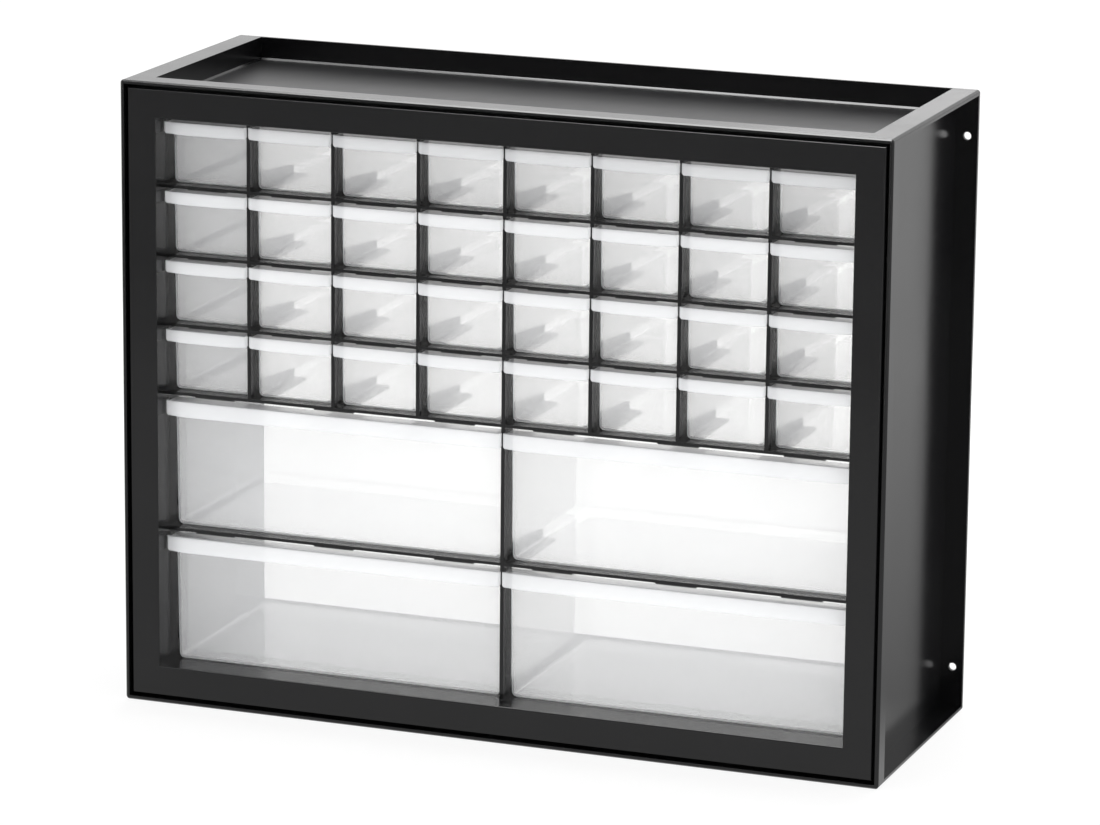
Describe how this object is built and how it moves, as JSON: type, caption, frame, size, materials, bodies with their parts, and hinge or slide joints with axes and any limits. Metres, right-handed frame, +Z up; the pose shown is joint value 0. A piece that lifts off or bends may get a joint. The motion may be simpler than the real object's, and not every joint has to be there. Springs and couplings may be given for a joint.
{
  "type": "parts bin cabinet",
  "caption": "Small-parts cabinet: a black moulded housing open at the back, with a top tray and a front grid of shallow clear drawers above wide ones.",
  "frame": {"origin": "centre of the bottom face, on the surface the cabinet stands on", "axes": "+X to the right seen from the front, +Y from the front to the back, +Z up"},
  "size_m": [0.495, 0.178, 0.395],
  "materials": {
    "black_plastic": "satin injection moulded black plastic",
    "clear_plastic": "milky, see-through moulded plastic"
  },
  "bodies": {
    "root": {"casing": "black_plastic", "front_grid": "black_plastic"},
    "large_drawer_r1c1": {"large_drawer_r1c1": "clear_plastic"},
    "large_drawer_r1c2": {"large_drawer_r1c2": "clear_plastic"},
    "large_drawer_r2c1": {"large_drawer_r2c1": "clear_plastic"},
    "large_drawer_r2c2": {"large_drawer_r2c2": "clear_plastic"},
    "small_drawer_r1c1": {"small_drawer_r1c1": "clear_plastic"},
    "small_drawer_r1c2": {"small_drawer_r1c2": "clear_plastic"},
    "small_drawer_r1c3": {"small_drawer_r1c3": "clear_plastic"},
    "small_drawer_r1c4": {"small_drawer_r1c4": "clear_plastic"},
    "small_drawer_r1c5": {"small_drawer_r1c5": "clear_plastic"},
    "small_drawer_r1c6": {"small_drawer_r1c6": "clear_plastic"},
    "small_drawer_r1c7": {"small_drawer_r1c7": "clear_plastic"},
    "small_drawer_r1c8": {"small_drawer_r1c8": "clear_plastic"},
    "small_drawer_r2c1": {"small_drawer_r2c1": "clear_plastic"},
    "small_drawer_r2c2": {"small_drawer_r2c2": "clear_plastic"},
    "small_drawer_r2c3": {"small_drawer_r2c3": "clear_plastic"},
    "small_drawer_r2c4": {"small_drawer_r2c4": "clear_plastic"},
    "small_drawer_r2c5": {"small_drawer_r2c5": "clear_plastic"},
    "small_drawer_r2c6": {"small_drawer_r2c6": "clear_plastic"},
    "small_drawer_r2c7": {"small_drawer_r2c7": "clear_plastic"},
    "small_drawer_r2c8": {"small_drawer_r2c8": "clear_plastic"},
    "small_drawer_r3c1": {"small_drawer_r3c1": "clear_plastic"},
    "small_drawer_r3c2": {"small_drawer_r3c2": "clear_plastic"},
    "small_drawer_r3c3": {"small_drawer_r3c3": "clear_plastic"},
    "small_drawer_r3c4": {"small_drawer_r3c4": "clear_plastic"},
    "small_drawer_r3c5": {"small_drawer_r3c5": "clear_plastic"},
    "small_drawer_r3c6": {"small_drawer_r3c6": "clear_plastic"},
    "small_drawer_r3c7": {"small_drawer_r3c7": "clear_plastic"},
    "small_drawer_r3c8": {"small_drawer_r3c8": "clear_plastic"},
    "small_drawer_r4c1": {"small_drawer_r4c1": "clear_plastic"},
    "small_drawer_r4c2": {"small_drawer_r4c2": "clear_plastic"},
    "small_drawer_r4c3": {"small_drawer_r4c3": "clear_plastic"},
    "small_drawer_r4c4": {"small_drawer_r4c4": "clear_plastic"},
    "small_drawer_r4c5": {"small_drawer_r4c5": "clear_plastic"},
    "small_drawer_r4c6": {"small_drawer_r4c6": "clear_plastic"},
    "small_drawer_r4c7": {"small_drawer_r4c7": "clear_plastic"},
    "small_drawer_r4c8": {"small_drawer_r4c8": "clear_plastic"}
  },
  "joints": [
    {"name": "slide_large_drawer_r1c1", "type": "slide", "parent": "root", "child": "large_drawer_r1c1", "axis": [0, -1, 0], "range_m": [0, 0.12]},
    {"name": "slide_large_drawer_r1c2", "type": "slide", "parent": "root", "child": "large_drawer_r1c2", "axis": [0, -1, 0], "range_m": [0, 0.12]},
    {"name": "slide_large_drawer_r2c1", "type": "slide", "parent": "root", "child": "large_drawer_r2c1", "axis": [0, -1, 0], "range_m": [0, 0.12]},
    {"name": "slide_large_drawer_r2c2", "type": "slide", "parent": "root", "child": "large_drawer_r2c2", "axis": [0, -1, 0], "range_m": [0, 0.12]},
    {"name": "slide_small_drawer_r1c1", "type": "slide", "parent": "root", "child": "small_drawer_r1c1", "axis": [0, -1, 0], "range_m": [0, 0.12]},
    {"name": "slide_small_drawer_r1c2", "type": "slide", "parent": "root", "child": "small_drawer_r1c2", "axis": [0, -1, 0], "range_m": [0, 0.12]},
    {"name": "slide_small_drawer_r1c3", "type": "slide", "parent": "root", "child": "small_drawer_r1c3", "axis": [0, -1, 0], "range_m": [0, 0.12]},
    {"name": "slide_small_drawer_r1c4", "type": "slide", "parent": "root", "child": "small_drawer_r1c4", "axis": [0, -1, 0], "range_m": [0, 0.12]},
    {"name": "slide_small_drawer_r1c5", "type": "slide", "parent": "root", "child": "small_drawer_r1c5", "axis": [0, -1, 0], "range_m": [0, 0.12]},
    {"name": "slide_small_drawer_r1c6", "type": "slide", "parent": "root", "child": "small_drawer_r1c6", "axis": [0, -1, 0], "range_m": [0, 0.12]},
    {"name": "slide_small_drawer_r1c7", "type": "slide", "parent": "root", "child": "small_drawer_r1c7", "axis": [0, -1, 0], "range_m": [0, 0.12]},
    {"name": "slide_small_drawer_r1c8", "type": "slide", "parent": "root", "child": "small_drawer_r1c8", "axis": [0, -1, 0], "range_m": [0, 0.12]},
    {"name": "slide_small_drawer_r2c1", "type": "slide", "parent": "root", "child": "small_drawer_r2c1", "axis": [0, -1, 0], "range_m": [0, 0.12]},
    {"name": "slide_small_drawer_r2c2", "type": "slide", "parent": "root", "child": "small_drawer_r2c2", "axis": [0, -1, 0], "range_m": [0, 0.12]},
    {"name": "slide_small_drawer_r2c3", "type": "slide", "parent": "root", "child": "small_drawer_r2c3", "axis": [0, -1, 0], "range_m": [0, 0.12]},
    {"name": "slide_small_drawer_r2c4", "type": "slide", "parent": "root", "child": "small_drawer_r2c4", "axis": [0, -1, 0], "range_m": [0, 0.12]},
    {"name": "slide_small_drawer_r2c5", "type": "slide", "parent": "root", "child": "small_drawer_r2c5", "axis": [0, -1, 0], "range_m": [0, 0.12]},
    {"name": "slide_small_drawer_r2c6", "type": "slide", "parent": "root", "child": "small_drawer_r2c6", "axis": [0, -1, 0], "range_m": [0, 0.12]},
    {"name": "slide_small_drawer_r2c7", "type": "slide", "parent": "root", "child": "small_drawer_r2c7", "axis": [0, -1, 0], "range_m": [0, 0.12]},
    {"name": "slide_small_drawer_r2c8", "type": "slide", "parent": "root", "child": "small_drawer_r2c8", "axis": [0, -1, 0], "range_m": [0, 0.12]},
    {"name": "slide_small_drawer_r3c1", "type": "slide", "parent": "root", "child": "small_drawer_r3c1", "axis": [0, -1, 0], "range_m": [0, 0.12]},
    {"name": "slide_small_drawer_r3c2", "type": "slide", "parent": "root", "child": "small_drawer_r3c2", "axis": [0, -1, 0], "range_m": [0, 0.12]},
    {"name": "slide_small_drawer_r3c3", "type": "slide", "parent": "root", "child": "small_drawer_r3c3", "axis": [0, -1, 0], "range_m": [0, 0.12]},
    {"name": "slide_small_drawer_r3c4", "type": "slide", "parent": "root", "child": "small_drawer_r3c4", "axis": [0, -1, 0], "range_m": [0, 0.12]},
    {"name": "slide_small_drawer_r3c5", "type": "slide", "parent": "root", "child": "small_drawer_r3c5", "axis": [0, -1, 0], "range_m": [0, 0.12]},
    {"name": "slide_small_drawer_r3c6", "type": "slide", "parent": "root", "child": "small_drawer_r3c6", "axis": [0, -1, 0], "range_m": [0, 0.12]},
    {"name": "slide_small_drawer_r3c7", "type": "slide", "parent": "root", "child": "small_drawer_r3c7", "axis": [0, -1, 0], "range_m": [0, 0.12]},
    {"name": "slide_small_drawer_r3c8", "type": "slide", "parent": "root", "child": "small_drawer_r3c8", "axis": [0, -1, 0], "range_m": [0, 0.12]},
    {"name": "slide_small_drawer_r4c1", "type": "slide", "parent": "root", "child": "small_drawer_r4c1", "axis": [0, -1, 0], "range_m": [0, 0.12]},
    {"name": "slide_small_drawer_r4c2", "type": "slide", "parent": "root", "child": "small_drawer_r4c2", "axis": [0, -1, 0], "range_m": [0, 0.12]},
    {"name": "slide_small_drawer_r4c3", "type": "slide", "parent": "root", "child": "small_drawer_r4c3", "axis": [0, -1, 0], "range_m": [0, 0.12]},
    {"name": "slide_small_drawer_r4c4", "type": "slide", "parent": "root", "child": "small_drawer_r4c4", "axis": [0, -1, 0], "range_m": [0, 0.12]},
    {"name": "slide_small_drawer_r4c5", "type": "slide", "parent": "root", "child": "small_drawer_r4c5", "axis": [0, -1, 0], "range_m": [0, 0.12]},
    {"name": "slide_small_drawer_r4c6", "type": "slide", "parent": "root", "child": "small_drawer_r4c6", "axis": [0, -1, 0], "range_m": [0, 0.12]},
    {"name": "slide_small_drawer_r4c7", "type": "slide", "parent": "root", "child": "small_drawer_r4c7", "axis": [0, -1, 0], "range_m": [0, 0.12]},
    {"name": "slide_small_drawer_r4c8", "type": "slide", "parent": "root", "child": "small_drawer_r4c8", "axis": [0, -1, 0], "range_m": [0, 0.12]}
  ]
}
